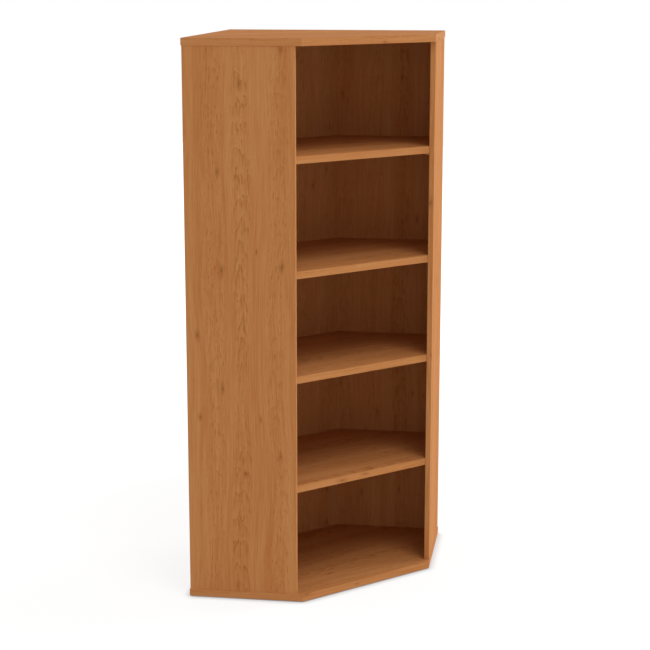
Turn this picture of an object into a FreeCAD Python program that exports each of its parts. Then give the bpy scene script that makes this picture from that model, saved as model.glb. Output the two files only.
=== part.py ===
import FreeCAD, Part
import math
import os

# A corner shelving unit of melamine-faced chipboard. Its room corner is at low x and high y, its two
# closed ends face -Y and +X, and its open front runs diagonally between them. Sizes are in millimetres.
# The origin is on the floor, in the middle of the unit's outline.

Vector = FreeCAD.Vector
up = Vector(0, 0, 1)
down = Vector(0, 0, -1)

# Outside sizes
wall_side = 800.0           # length along each of the two walls
end_depth = 400.0           # width of the two closed ends, out from the wall
carcass_height = 1920.0     # underside of the base to the top's upper face
glide_height = 3.0          # the base stands this far off the floor

# Boards
top_thickness = 25.0
base_thickness = 25.0
shelf_thickness = 25.0
upright_thickness = 18.0
back_thickness = 18.0
end_overhang = 2.0          # top and base stand this far proud of the uprights at the ends and walls
front_overhang = 22.0       # the uprights' front edges stand this far behind the top's front corners
back_inset = 8.0            # the back's outer face lies this far in from the uprights' rear edges
interior_depth = 540.0      # top's front edge to the diagonal back's inner face, square to both

# Shelves: the lower two are set out from the base, the upper two from the top
shelf_pitch_share = 0.2     # one compartment's share of the carcass's height
shelf_gap = 0.5             # play between a shelf and the boards round it
shelf_setback = 0.5         # a shelf's front edge behind the uprights' inner front corners

# Edging strips, with a rounded outer edge
strip_thickness = 2.0
strip_round = 1.2

# Cam fittings: a bolt screwed into one board, drawn in by a cam let into the next
cam_radius = 7.5
cam_height = 13.0
cam_distance = 34.0         # from the board's end to the cam's centre
cam_fit = 0.1
cross_length = 8.0
cross_width = 1.4
cross_depth = 2.0
bolt_thread_radius = 3.0
bolt_thread_length = 11.0
bolt_shank_radius = 2.5
bolt_collar_radius = 3.9
bolt_collar_length = 3.0
bolt_head_radius = 3.4
bolt_head_length = 5.0
bolt_fit = 0.1
bore_end_gap = 0.5          # spare depth at the bottom of each bore
cap_radius = 9.0
cap_height = 1.0
cap_plug_radius = 5.0
cap_round = 0.5

# Dowels
dowel_radius = 4.0
dowel_length = 35.0
dowel_in_face = 11.0        # how much of it goes into the face of the mating board
mitre_dowel_radius = 3.0
mitre_dowel_length = 24.0
dowel_fit = 0.05

# Where the fittings are along each board's end, and up the upright joints
fitting_inset = 37.0        # board's edge to the cam
dowel_spacing = 32.0        # cam to the dowel beside it
seam_cam_shares = (0.12, 0.5, 0.88)
seam_dowel_spacing = 64.0
mitre_dowel_shares = (0.08, 0.29, 0.5, 0.71, 0.92)

# Shelf support pins
pin_radius = 2.5
pin_depth = 9.0             # length of the peg in the board
pin_fit = 0.05
pin_body_length = 14.0
pin_body_radius = 5.25      # of the body's underside, and half the width of its flat top
pin_body_round = 0.8        # at the body's free end
pin_front_inset = 37.0      # from an upright's front edge to its front pins
pin_rear_inset = 57.0       # from a side back's inner face to the upright's rear pins
pin_back_inset = 120.0      # from the back's inner corners to the diagonal back's pins

# Glides
glide_radius = 12.0
glide_chamfer = 0.8
glide_inset = 75.0          # from the base's corners towards its middle
nail_radius = 1.5
nail_length = 15.0
nail_head_radius = 4.0
nail_head_height = 0.8
nail_head_sink = 0.5        # the head lies this far up inside the glide
nail_fit = 0.1

# Cutting tools run past the faces they open by this
overrun = 1.0

# Levels
base_bottom = glide_height
base_top = base_bottom + base_thickness
unit_top = base_bottom + carcass_height
top_bottom = unit_top - top_thickness
wall_height = top_bottom - base_top
shelf_pitch = carcass_height * shelf_pitch_share
shelf_levels = (
    base_bottom + shelf_pitch,
    base_bottom + 2 * shelf_pitch,
    unit_top - 2 * shelf_pitch - shelf_thickness,
    unit_top - shelf_pitch - shelf_thickness,
)

# The plan. The unit is its own mirror image about the line from the room corner to the middle of the
# front, and the mirror swaps (x, y) for (-y, -x). Each diagonal line in the plan is given by x - y.
half_side = wall_side / 2
root_two = math.sqrt(2)
upright_outer = -half_side + end_overhang
upright_inner = upright_outer + upright_thickness
upright_rear = -half_side + end_overhang
upright_front = -half_side + end_depth - front_overhang
back_outer = upright_rear + back_inset
back_inner = back_outer + back_thickness
back_inner_line = end_depth - interior_depth * root_two
back_outer_line = back_inner_line - back_thickness * root_two


def mirrored_point(point):
    """The same place on the other side of the unit."""
    return (-point[1], -point[0])


def mirrored(shape):
    """The same shape on the other side of the unit."""
    return shape.mirror(Vector(0, 0, 0), Vector(1, 1, 0))


deck_outline = [
    (-half_side, -half_side),
    (-half_side + end_depth, -half_side),
    (half_side, half_side - end_depth),
    (half_side, half_side),
    (-half_side, half_side),
]
upright_outline = [
    (upright_rear, upright_outer),
    (upright_front, upright_outer),
    (upright_front, upright_inner),
    (upright_rear, upright_inner),
]
inner_corner = (back_inner, back_inner - back_inner_line)
outer_corner = (back_outer, back_outer - back_outer_line)
side_back_outline = [
    (back_outer, upright_inner),
    (back_inner, upright_inner),
    inner_corner,
    outer_corner,
]
diagonal_back_outline = [
    inner_corner,
    mirrored_point(inner_corner),
    mirrored_point(outer_corner),
    outer_corner,
]
interior_outline = [
    (back_inner, upright_inner),
    (upright_front, upright_inner),
    mirrored_point((upright_front, upright_inner)),
    mirrored_point((back_inner, upright_inner)),
    mirrored_point(inner_corner),
    inner_corner,
]
# One gap for each side of the interior, of which the second is the open front
shelf_gaps = [shelf_setback if side == 1 else shelf_gap for side in range(len(interior_outline))]


def prism(outline, bottom, height):
    """An upright block on a plan outline."""
    points = [Vector(x, y, bottom) for x, y in outline]
    face = Part.Face(Part.makePolygon(points + points[:1]))
    return face.extrude(up * height)


def rod(start, direction, radius, length):
    """A round bar from a point along a direction."""
    return Part.makeCylinder(radius, length, start, direction)


def block(centre, first, second, third):
    """A box about a centre, spanned by three vectors that carry its sizes."""
    corner = centre - (first + second + third) / 2
    points = [corner, corner + first, corner + first + second, corner + second, corner]
    return Part.Face(Part.makePolygon(points)).extrude(third)


def inset(outline, distances):
    """A convex outline, drawn anticlockwise, with each side moved in by its own distance."""
    lines = []
    for (x0, y0), (x1, y1), distance in zip(outline, outline[1:] + outline[:1], distances):
        length = math.hypot(x1 - x0, y1 - y0)
        normal = (-(y1 - y0) / length, (x1 - x0) / length)
        lines.append((normal, normal[0] * x0 + normal[1] * y0 + distance))
    corners = []
    for (n, c), (m, d) in zip(lines[-1:] + lines[:-1], lines):
        cross = n[0] * m[1] - n[1] * m[0]
        corners.append(((c * m[1] - d * n[1]) / cross, (d * n[0] - c * m[0]) / cross))
    return corners


def edging_strip(outer, inner, bottom, height):
    """One strip between two ends of an outline's side, with the two long edges of its outer face rounded."""
    strip = prism([outer[0], outer[1], inner[1], inner[0]], bottom, height)
    start = Vector(outer[0][0], outer[0][1], bottom)
    along = Vector(outer[1][0], outer[1][1], bottom) - start
    normal = along.cross(up).normalize()
    outside = [
        edge for edge in strip.Edges
        if all(abs((vertex.Point - start).dot(normal)) < strip_thickness / 2 for vertex in edge.Vertexes)
    ]
    longest = max(edge.Length for edge in outside)
    long_edges = [edge for edge in outside if longest - edge.Length < strip_thickness]
    return strip.makeFillet(strip_round, long_edges)


def edged_board(outline, edged_sides, bottom, height):
    """A board and the strips on the sides named by their numbers, inside one outline."""
    distances = [strip_thickness if side in edged_sides else 0 for side in range(len(outline))]
    core_outline = inset(outline, distances)
    strips = []
    for side in edged_sides:
        following = (side + 1) % len(outline)
        outer = (outline[side], outline[following])
        inner = (core_outline[side], core_outline[following])
        strips.append(edging_strip(outer, inner, bottom, height))
    return prism(core_outline, bottom, height), strips


# Fittings collect here as they are placed: solids by node, and cuts by the board that they are made in
solids = {}
cuts = {}


def keep(node, solid):
    solids.setdefault(node, []).append(solid)


def cut_in(board, tool):
    cuts.setdefault(board, []).append(tool)


def cam_solid(centre, inward, cam_side, bore_bottom):
    """A cam with a cross in its face and a pocket on one side for the bolt's head."""
    cam = rod(bore_bottom, cam_side, cam_radius, cam_height)
    face = bore_bottom + cam_side * (cam_height - cross_depth / 2)
    sideways = inward.cross(cam_side)
    cam = cam.cut(block(face, inward * cross_length, sideways * cross_width, cam_side * cross_depth))
    cam = cam.cut(block(face, sideways * cross_length, inward * cross_width, cam_side * cross_depth))
    pocket_length = cam_radius + overrun + bolt_head_length / 2 + bolt_fit
    pocket_start = centre - inward * (cam_radius + overrun)
    return cam.cut(rod(pocket_start, inward, bolt_head_radius + bolt_fit, pocket_length))


def bolt_solid(end_point, inward):
    """A cam bolt: thread, collar, shank and head, from the joint into the board."""
    thread = rod(end_point - inward * bolt_thread_length, inward, bolt_thread_radius, bolt_thread_length)
    collar = rod(end_point, inward, bolt_collar_radius, bolt_collar_length)
    shank = rod(end_point, inward, bolt_shank_radius, cam_distance)
    head_start = end_point + inward * (cam_distance - bolt_head_length / 2)
    head = rod(head_start, inward, bolt_head_radius, bolt_head_length)
    return thread.fuse([collar, shank, head]).removeSplitter()


def cap_solid(face_point, cam_side):
    """A round cover cap that lies on the board over a cam, with a short plug on its back."""
    disc = rod(face_point, cam_side, cap_radius, cap_height)
    rim = [
        edge for edge in disc.Edges
        if all((vertex.Point - face_point).dot(cam_side) > cap_height / 2 for vertex in edge.Vertexes)
        and edge.Closed
    ]
    disc = disc.makeFillet(cap_round, rim)
    plug = rod(face_point - cam_side * bore_end_gap, cam_side, cap_plug_radius, bore_end_gap)
    return disc.fuse(plug).removeSplitter()


def cam_joint(boards, mate, end_point, inward, cam_side, thickness, both_sides, capped=False):
    """A cam fitting, and its twin across the unit where both_sides is true."""
    board = boards[0]
    centre = end_point + inward * cam_distance
    face_point = centre + cam_side * (thickness / 2)
    bore_depth = cam_height + bore_end_gap
    bore_bottom = face_point - cam_side * bore_depth
    cam_bore = rod(bore_bottom, cam_side, cam_radius + cam_fit, bore_depth + overrun)
    bolt_bore = rod(end_point - inward * overrun, inward, bolt_collar_radius + bolt_fit,
                    cam_distance + overrun)
    thread_bore = rod(end_point + inward * overrun, -inward, bolt_thread_radius + bolt_fit,
                      bolt_thread_length + bore_end_gap + overrun)
    parts = [("cam_housings", cam_solid(centre, inward, cam_side, bore_bottom))]
    parts.append(("cam_bolts", bolt_solid(end_point, inward)))
    if capped:
        parts.append(("cam_cover_caps", cap_solid(face_point, cam_side)))
    for node, solid in parts:
        keep(node, solid)
    for tool in (cam_bore, bolt_bore):
        cut_in(board, tool)
    cut_in(mate[0], thread_bore)
    if both_sides:
        for node, solid in parts:
            keep(node, mirrored(solid))
        for tool in (cam_bore, bolt_bore):
            cut_in(boards[1], mirrored(tool))
        cut_in(mate[1], mirrored(thread_bore))


def dowel_joint(boards, mate, end_point, inward, both_sides):
    """A dowel across a joint, and its twin across the unit where both_sides is true."""
    in_board = dowel_length - dowel_in_face
    dowel = rod(end_point - inward * dowel_in_face, inward, dowel_radius, dowel_length)
    board_bore = rod(end_point - inward * overrun, inward, dowel_radius + dowel_fit,
                     in_board + bore_end_gap + overrun)
    mate_bore = rod(end_point + inward * overrun, -inward, dowel_radius + dowel_fit,
                    dowel_in_face + bore_end_gap + overrun)
    keep("wooden_dowels", dowel)
    cut_in(boards[0], board_bore)
    cut_in(mate[0], mate_bore)
    if both_sides:
        keep("wooden_dowels", mirrored(dowel))
        cut_in(boards[1], mirrored(board_bore))
        cut_in(mate[1], mirrored(mate_bore))


def end_joints(boards, start, along, length, cam_side, thickness, both_sides, capped=False):
    """Cams and dowels at the head and foot of an upright board, the same distance in from its two edges."""
    ends = ((base_top, up, "base_panel"), (top_bottom, down, "top_panel"))
    for level, inward, deck in ends:
        for first, direction in ((start, along), (start + along * length, -along)):
            cam_place = first + direction * fitting_inset
            dowel_place = cam_place + direction * dowel_spacing
            cam_place = Vector(cam_place.x, cam_place.y, level)
            dowel_place = Vector(dowel_place.x, dowel_place.y, level)
            cam_joint(boards, (deck, deck), cam_place, inward, cam_side, thickness, both_sides, capped)
            dowel_joint(boards, (deck, deck), dowel_place, inward, both_sides)


def place_end_joints():
    upright_middle = (upright_outer + upright_inner) / 2
    back_middle = (back_outer + back_inner) / 2
    uprights = ("left_upright", "right_upright")
    end_joints(uprights, Vector(upright_rear, upright_middle, 0), Vector(1, 0, 0),
               upright_front - upright_rear, Vector(0, 1, 0), upright_thickness, True, capped=True)
    side_backs = ("left_back_panel", "right_back_panel")
    end_joints(side_backs, Vector(back_middle, upright_inner, 0), Vector(0, 1, 0),
               inner_corner[1] - upright_inner, Vector(-1, 0, 0), back_thickness, True)
    corner = Vector(inner_corner[0], inner_corner[1], 0)
    far_corner = Vector(-inner_corner[1], -inner_corner[0], 0)
    rearward = Vector(-1, 1, 0).normalize()
    along_back = far_corner - corner
    back_length = along_back.Length
    end_joints(("diagonal_back_panel",), corner + rearward * (back_thickness / 2),
               along_back.normalize(), back_length, rearward, back_thickness, False)


def place_seam_joints():
    """Where each side back butts against the inner face of its upright."""
    backs = ("left_back_panel", "right_back_panel")
    uprights = ("left_upright", "right_upright")
    seam_x = (back_outer + back_inner) / 2
    for share in seam_cam_shares:
        level = base_top + wall_height * share
        seam = Vector(seam_x, upright_inner, level)
        cam_joint(backs, uprights, seam, Vector(0, 1, 0), Vector(-1, 0, 0), back_thickness, True)
        for side in (-1, 1):
            dowel_joint(backs, uprights, seam + up * (side * seam_dowel_spacing), Vector(0, 1, 0), True)


def place_mitre_dowels():
    """Across the two mitred corners of the back."""
    middle = Vector((inner_corner[0] + outer_corner[0]) / 2, (inner_corner[1] + outer_corner[1]) / 2, 0)
    across = (Vector(0, 1, 0) + Vector(1, 1, 0).normalize()).normalize()
    for share in mitre_dowel_shares:
        centre = middle + up * (base_top + wall_height * share)
        start = centre - across * (mitre_dowel_length / 2)
        dowel = rod(start, across, mitre_dowel_radius, mitre_dowel_length)
        bore = rod(start - across * bore_end_gap, across, mitre_dowel_radius + dowel_fit,
                   mitre_dowel_length + 2 * bore_end_gap)
        keep("mitre_dowels", dowel)
        keep("mitre_dowels", mirrored(dowel))
        for board in ("left_back_panel", "diagonal_back_panel"):
            cut_in(board, bore)
        for board in ("right_back_panel", "diagonal_back_panel"):
            cut_in(board, mirrored(bore))


def pin_solid(face_point, outward):
    """A shelf pin: a peg in the board and a body with a flat top, for the shelf, and a half-round underside."""
    axis = face_point + down * pin_body_radius
    sideways = outward.cross(up) * pin_body_radius
    section = Part.Wire([
        Part.makeLine(face_point + sideways, axis + sideways),
        Part.Arc(axis + sideways, axis + down * pin_body_radius, axis - sideways).toShape(),
        Part.makeLine(axis - sideways, face_point - sideways),
        Part.makeLine(face_point - sideways, face_point + sideways),
    ])
    body = Part.Face(section).extrude(outward * pin_body_length)
    free_end = [
        edge for edge in body.Edges
        if all((vertex.Point - face_point).dot(outward) > pin_body_length / 2 for vertex in edge.Vertexes)
    ]
    body = body.makeFillet(pin_body_round, free_end)
    peg = rod(axis - outward * pin_depth, outward, pin_radius, pin_depth)
    bore = rod(axis + outward * overrun, -outward, pin_radius + pin_fit, pin_depth + bore_end_gap + overrun)
    return body.fuse(peg).removeSplitter(), bore


def place_pins():
    for level in shelf_levels:
        for x in (back_inner + pin_rear_inset, upright_front - pin_front_inset):
            pin, bore = pin_solid(Vector(x, upright_inner, level), Vector(0, 1, 0))
            keep("shelf_pins", pin)
            keep("shelf_pins", mirrored(pin))
            cut_in("left_upright", bore)
            cut_in("right_upright", mirrored(bore))
        corner = Vector(inner_corner[0], inner_corner[1], level)
        along = Vector(1, 1, 0).normalize()
        pin, bore = pin_solid(corner + along * pin_back_inset, Vector(1, -1, 0).normalize())
        for twin in (False, True):
            keep("shelf_pins", mirrored(pin) if twin else pin)
            cut_in("diagonal_back_panel", mirrored(bore) if twin else bore)


def place_glides():
    """A plastic disc under each corner of the base, each held by a nail through its middle."""
    middle = sum((Vector(x, y, 0) for x, y in deck_outline), Vector(0, 0, 0)) / len(deck_outline)
    for x, y in deck_outline:
        corner = Vector(x, y, 0)
        place = corner + (middle - corner).normalize() * glide_inset
        disc = Part.makeCylinder(glide_radius, glide_height, place)
        lower_rim = [
            edge for edge in disc.Edges
            if edge.Closed and all(vertex.Z < glide_height / 2 for vertex in edge.Vertexes)
        ]
        disc = disc.makeChamfer(glide_chamfer, lower_rim)
        head_top = nail_head_sink + nail_head_height
        disc = disc.cut(rod(place, up, nail_head_radius + nail_fit, head_top))
        disc = disc.cut(rod(place, up, nail_radius + nail_fit, glide_height))
        keep("floor_glides", disc)
        head = rod(place + up * nail_head_sink, up, nail_head_radius, nail_head_height)
        shank = rod(place + up * nail_head_sink, up, nail_radius, glide_height + nail_length - nail_head_sink)
        keep("glide_nails", head.fuse(shank).removeSplitter())
        bore_length = glide_height + nail_length + bore_end_gap
        cut_in("base_panel", rod(place, up, nail_radius + nail_fit, bore_length))


def make_boards():
    """Every board with its edging, before the fittings' bores are cut."""
    all_sides = range(len(deck_outline))
    decks = (("base_panel", base_bottom, base_thickness), ("top_panel", top_bottom, top_thickness))
    for node, bottom, thickness in decks:
        board, strips = edged_board(deck_outline, all_sides, bottom, thickness)
        keep(node, board)
        solids[node + "_edging"] = strips

    # The uprights' front edge is the second side of their outline and the rear edge the fourth
    upright, strips = edged_board(upright_outline, (1, 3), base_top, wall_height)
    keep("left_upright", upright)
    keep("right_upright", mirrored(upright))
    solids["left_upright_edging"] = strips
    solids["right_upright_edging"] = [mirrored(strip) for strip in strips]

    side_back = prism(side_back_outline, base_top, wall_height)
    keep("left_back_panel", side_back)
    keep("right_back_panel", mirrored(side_back))
    keep("diagonal_back_panel", prism(diagonal_back_outline, base_top, wall_height))

    # Only the diagonal front, the second side of a shelf's outline, has edging
    shelf_outline = inset(interior_outline, shelf_gaps)
    for number, level in enumerate(shelf_levels, start=1):
        board, strips = edged_board(shelf_outline, (1,), level, shelf_thickness)
        keep("shelf_%d" % number, board)
        solids["shelf_%d_edging" % number] = strips


def export():
    os.makedirs("parts", exist_ok=True)
    for board, tools in cuts.items():
        solids[board] = [solids[board][0].cut(tools)]
    for node, pieces in sorted(solids.items()):
        shape = pieces[0] if len(pieces) == 1 else Part.makeCompound(pieces)
        shape.exportStep("parts/%s.step" % node)
        print("%-24s %3d solid(s) %12.0f mm3" % (node, len(shape.Solids), shape.Volume))


make_boards()
place_end_joints()
place_seam_joints()
place_mitre_dowels()
place_pins()
place_glides()
export()
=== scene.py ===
import math
import bpy
import numpy as np
from mathutils import Matrix, Vector


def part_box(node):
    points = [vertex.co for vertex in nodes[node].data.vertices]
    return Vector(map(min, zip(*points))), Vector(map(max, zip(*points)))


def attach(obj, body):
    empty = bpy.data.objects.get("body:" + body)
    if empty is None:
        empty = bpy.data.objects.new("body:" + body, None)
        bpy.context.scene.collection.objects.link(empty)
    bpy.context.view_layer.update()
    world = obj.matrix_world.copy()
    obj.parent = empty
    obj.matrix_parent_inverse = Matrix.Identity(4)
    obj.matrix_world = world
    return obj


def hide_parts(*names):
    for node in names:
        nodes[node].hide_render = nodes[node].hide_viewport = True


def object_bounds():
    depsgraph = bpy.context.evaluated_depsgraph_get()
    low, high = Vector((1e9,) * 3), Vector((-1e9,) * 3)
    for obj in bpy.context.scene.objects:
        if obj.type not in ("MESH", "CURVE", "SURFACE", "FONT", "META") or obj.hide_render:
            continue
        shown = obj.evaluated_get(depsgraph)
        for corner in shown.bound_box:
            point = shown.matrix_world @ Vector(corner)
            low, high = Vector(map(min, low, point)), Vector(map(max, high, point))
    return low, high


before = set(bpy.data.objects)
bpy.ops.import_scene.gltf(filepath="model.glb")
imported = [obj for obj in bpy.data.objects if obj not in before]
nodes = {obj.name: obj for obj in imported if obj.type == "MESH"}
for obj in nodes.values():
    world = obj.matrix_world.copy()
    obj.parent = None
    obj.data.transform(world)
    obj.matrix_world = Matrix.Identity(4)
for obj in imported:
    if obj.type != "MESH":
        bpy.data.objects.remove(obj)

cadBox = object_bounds()
scene = bpy.context.scene
mm = 0.001
print("frame loaded:", len(nodes), "nodes")

rightward = Vector((1, 0, 0))
backward = Vector((0, 1, 0))
up = Vector((0, 0, 1))
alongFront = Vector((1, 1, 0)).normalized()      # the open front and the diagonal back run this way
outOfFront = Vector((1, -1, 0)).normalized()


def fromHex(code):
    # sRGB hex to the linear colour that sockets take
    values = [int(code[i:i + 2], 16) / 255 for i in (1, 3, 5)]
    return [v / 12.92 if v <= 0.04045 else ((v + 0.055) / 1.055) ** 2.4 for v in values] + [1.0]


def addNode(tree, kind, inputs=None, **settings):
    # one node with its settings, then its values and links; a node given as a value means its first output,
    # and a list of nodes links each of them to the same input
    node = tree.nodes.new(kind)
    for name, value in settings.items():
        setattr(node, name, value)
    for key, value in (inputs or {}).items():
        several = value if isinstance(value, list) and isinstance(value[0], bpy.types.Node) else [value]
        for item in several:
            if isinstance(item, bpy.types.Node):
                item = next(output for output in item.outputs if output.enabled)
            if isinstance(item, bpy.types.NodeSocket):
                tree.links.new(item, node.inputs[key])
            else:
                node.inputs[key].default_value = item
    return node


def startMaterial(name):
    material = bpy.data.materials.new(name)
    material.use_nodes = True
    material.node_tree.nodes.clear()
    return material, material.node_tree


def dressNode(name, material):
    # a CAD piece keeps its mesh and gets this finish
    nodes[name].data.materials.clear()
    nodes[name].data.materials.append(material)


# Alder decor: a printed paper pressed in melamine resin, so the grain has colour but almost no relief, under
# an even satin face. Sizes are in mm, and a pair of them is across and along the grain. A weight is how
# strongly a layer shows, and a span is the part of a noise over which it comes in.
alderDecor = {
    "lightTone": "#C68A55",
    "darkTone": "#B4713C",
    "ringTone": "#99581E",
    "fleckTone": "#8A4710",
    "knotTone": "#7A4218",
    "wanderBy": 14, "wanderSize": (190, 700),            # how far the grain strays from straight
    "wanderSpan": (0.25, 0.75),
    "bandSize": (60, 1500), "bandWeight": 0.75,          # slow changes of tone across the board
    "streakSize": (11, 420), "streakWeight": 0.8,
    "fibreSize": (4.5, 110), "fibreWeight": 0.85,        # really 1 mm; drawn coarser so that they show
    "poreSize": (1.2, 9), "poreDepth": 0.2,
    "heartSpacing": 108, "heartWidth": 88,               # one figure in each 108 mm of width
    "heartFrom": 0.35, "heartSpread": 0.3,               # where its heart lies, as shares of that width
    "heartCore": 0.4,                                    # this share of its width has its full strength
    "heartCycle": 3, "faintShare": 0.45,                 # one figure in three is strong, the others faint
    "tileLength": 1270,                                  # a figure starts anew after this length
    "fadeIn": (20, 200), "fadeOut": 200,                 # and comes in and goes out within it
    "ringSpacing": 9, "ringTaper": 0.11,                 # really 4 mm; drawn coarser so that they show
    "ringSharpness": 1.6, "ringWeight": 0.6,             # each ring darkens outwards and ends at once
    "rippleSize": (34, 90), "rippleRings": 1.8,          # the rings swell and close up into small ovals
    "breakSize": (9, 34), "breakSpan": (0.38, 0.62),     # and are broken up by paler places
    "breakRest": 0.25,
    "fleckSize": (3.6, 30), "fleckSpan": (0.62, 0.74),   # short dark dashes
    "fleckWeight": 0.34, "fleckRest": 0.2,               # this much of them is left away from a heart
    "knotCell": (70, 200), "knotShare": 0.30,            # at most one pin knot in each cell
    "knotSize": (0.022, 0.045),                          # smallest and largest, as shares of the cell
    "coreReach": (1.5, 0.2), "coreWeight": 0.36,         # where it starts and is full, in sizes of the knot
    "shadowReach": (4.5, 0.8), "shadowWeight": 0.28,
}
noiseSpan = (0.3, 0.7)        # most of a noise's values lie between these


def grainPattern(tree, across, along, size, detail):
    # noise drawn out along the grain, with features of the given width and length
    place = addNode(tree, "ShaderNodeCombineXYZ", {
        "X": addNode(tree, "ShaderNodeMath", {0: across, 1: 1 / (size[0] * mm)}, operation="MULTIPLY"),
        "Y": addNode(tree, "ShaderNodeMath", {0: along, 1: 1 / (size[1] * mm)}, operation="MULTIPLY")})
    return addNode(tree, "ShaderNodeTexNoise", {"Vector": place, "Scale": 1.0, "Detail": detail},
                   noise_dimensions="2D")


def addTone(tree, across, along, values):
    # slow bands, streaks and fibres, each centred on zero and weighed, between the dark and the light tone
    tone = 0.5
    for layer, detail in (("band", 1.0), ("streak", 2.0), ("fibre", 2.0)):
        pattern = grainPattern(tree, across, along, values[layer + "Size"], detail)
        centred = addNode(tree, "ShaderNodeMath", {0: pattern, 1: 0.5}, operation="SUBTRACT")
        tone = addNode(tree, "ShaderNodeMath", {0: centred, 1: values[layer + "Weight"], 2: tone},
                       operation="MULTIPLY_ADD")
    return addNode(tree, "ShaderNodeMix", {0: tone, 6: fromHex(values["darkTone"]),
                   7: fromHex(values["lightTone"])}, data_type="RGBA")


def addFigure(tree, across, along, values):
    # growth rings cut by a plane that leaves the heart slowly, once in each strip of width; the results are
    # how dark the rings are and how near the heart is
    spacing = values["heartSpacing"] * mm
    strip = addNode(tree, "ShaderNodeMath", {0: across, 1: spacing}, operation="DIVIDE")
    number = addNode(tree, "ShaderNodeMath", {0: strip}, operation="FLOOR")
    noise = addNode(tree, "ShaderNodeTexWhiteNoise", {"W": number}, noise_dimensions="1D")
    chance = noise.outputs["Value"]
    order = addNode(tree, "ShaderNodeMath", {0: number, 1: values["heartCycle"], 2: 0.0}, operation="WRAP")
    isStrong = addNode(tree, "ShaderNodeMath", {0: order, 1: 1.0, 2: 0.5}, operation="COMPARE")
    strength = addNode(tree, "ShaderNodeMapRange", {"Value": isStrong, "To Min": values["faintShare"]})

    # Sideways from the heart
    middle = addNode(tree, "ShaderNodeMath", {0: chance, 1: values["heartSpread"], 2: values["heartFrom"]},
                     operation="MULTIPLY_ADD")
    inStrip = addNode(tree, "ShaderNodeMath", {0: strip}, operation="FRACT")
    offCentre = addNode(tree, "ShaderNodeMath", {0: inStrip, 1: middle}, operation="SUBTRACT")
    side = addNode(tree, "ShaderNodeMath", {0: offCentre, 1: spacing}, operation="MULTIPLY")
    sideSquared = addNode(tree, "ShaderNodeMath", {0: side, 1: 2.0}, operation="POWER")

    # Outwards from the heart, more and more along each tile
    tile = values["tileLength"] * mm
    tileStart = addNode(tree, "ShaderNodeMath", {0: chance, 1: tile, 2: along}, operation="MULTIPLY_ADD")
    inTile = addNode(tree, "ShaderNodeMath", {0: tileStart, 1: tile, 2: 0.0}, operation="WRAP")
    depth = addNode(tree, "ShaderNodeMath", {0: inTile, 1: values["ringTaper"]}, operation="MULTIPLY")
    bothSquared = addNode(tree, "ShaderNodeMath", {0: depth, 1: depth, 2: sideSquared},
                          operation="MULTIPLY_ADD")
    radius = addNode(tree, "ShaderNodeMath", {0: bothSquared}, operation="SQRT")

    ripple = grainPattern(tree, across, along, values["rippleSize"], detail=2.0)
    unevenness = addNode(tree, "ShaderNodeMath", {0: ripple, 1: values["rippleRings"]}, operation="MULTIPLY")
    ringCount = addNode(tree, "ShaderNodeMath", {
        0: radius, 1: 1 / (values["ringSpacing"] * mm), 2: unevenness}, operation="MULTIPLY_ADD")
    inRing = addNode(tree, "ShaderNodeMath", {0: ringCount}, operation="FRACT")
    ring = addNode(tree, "ShaderNodeMath", {0: inRing, 1: values["ringSharpness"]}, operation="POWER")

    # Rings show near the heart, within their tile and where nothing breaks them
    heartHalf = values["heartWidth"] * mm / 2
    nearHeart = addNode(tree, "ShaderNodeMapRange", {
        "Value": addNode(tree, "ShaderNodeMath", {0: side}, operation="ABSOLUTE"),
        "From Min": heartHalf, "From Max": heartHalf * values["heartCore"]}, interpolation_type="SMOOTHSTEP")
    fadeIn = addNode(tree, "ShaderNodeMapRange", {
        "Value": inTile, "From Min": values["fadeIn"][0] * mm, "From Max": values["fadeIn"][1] * mm},
        interpolation_type="SMOOTHSTEP")
    fadeOut = addNode(tree, "ShaderNodeMapRange", {
        "Value": inTile, "From Min": tile, "From Max": tile - values["fadeOut"] * mm},
        interpolation_type="SMOOTHSTEP")
    broken = addNode(tree, "ShaderNodeMapRange", {
        "Value": grainPattern(tree, across, along, values["breakSize"], detail=1.0),
        "From Min": values["breakSpan"][0], "From Max": values["breakSpan"][1],
        "To Min": values["breakRest"]}, interpolation_type="SMOOTHSTEP")
    for fade in (nearHeart, strength, fadeIn, fadeOut, broken, values["ringWeight"]):
        ring = addNode(tree, "ShaderNodeMath", {0: ring, 1: fade}, operation="MULTIPLY")
    return ring, nearHeart


def addFlecks(tree, across, along, nearHeart, values):
    # the few darkest dashes, most of them near the heart
    dashes = addNode(tree, "ShaderNodeMapRange", {
        "Value": grainPattern(tree, across, along, values["fleckSize"], detail=1.0),
        "From Min": values["fleckSpan"][0], "From Max": values["fleckSpan"][1],
        "To Max": values["fleckWeight"]}, interpolation_type="SMOOTHSTEP")
    share = addNode(tree, "ShaderNodeMapRange", {"Value": nearHeart, "To Min": values["fleckRest"]})
    return addNode(tree, "ShaderNodeMath", {0: dashes, 1: share}, operation="MULTIPLY")


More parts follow.
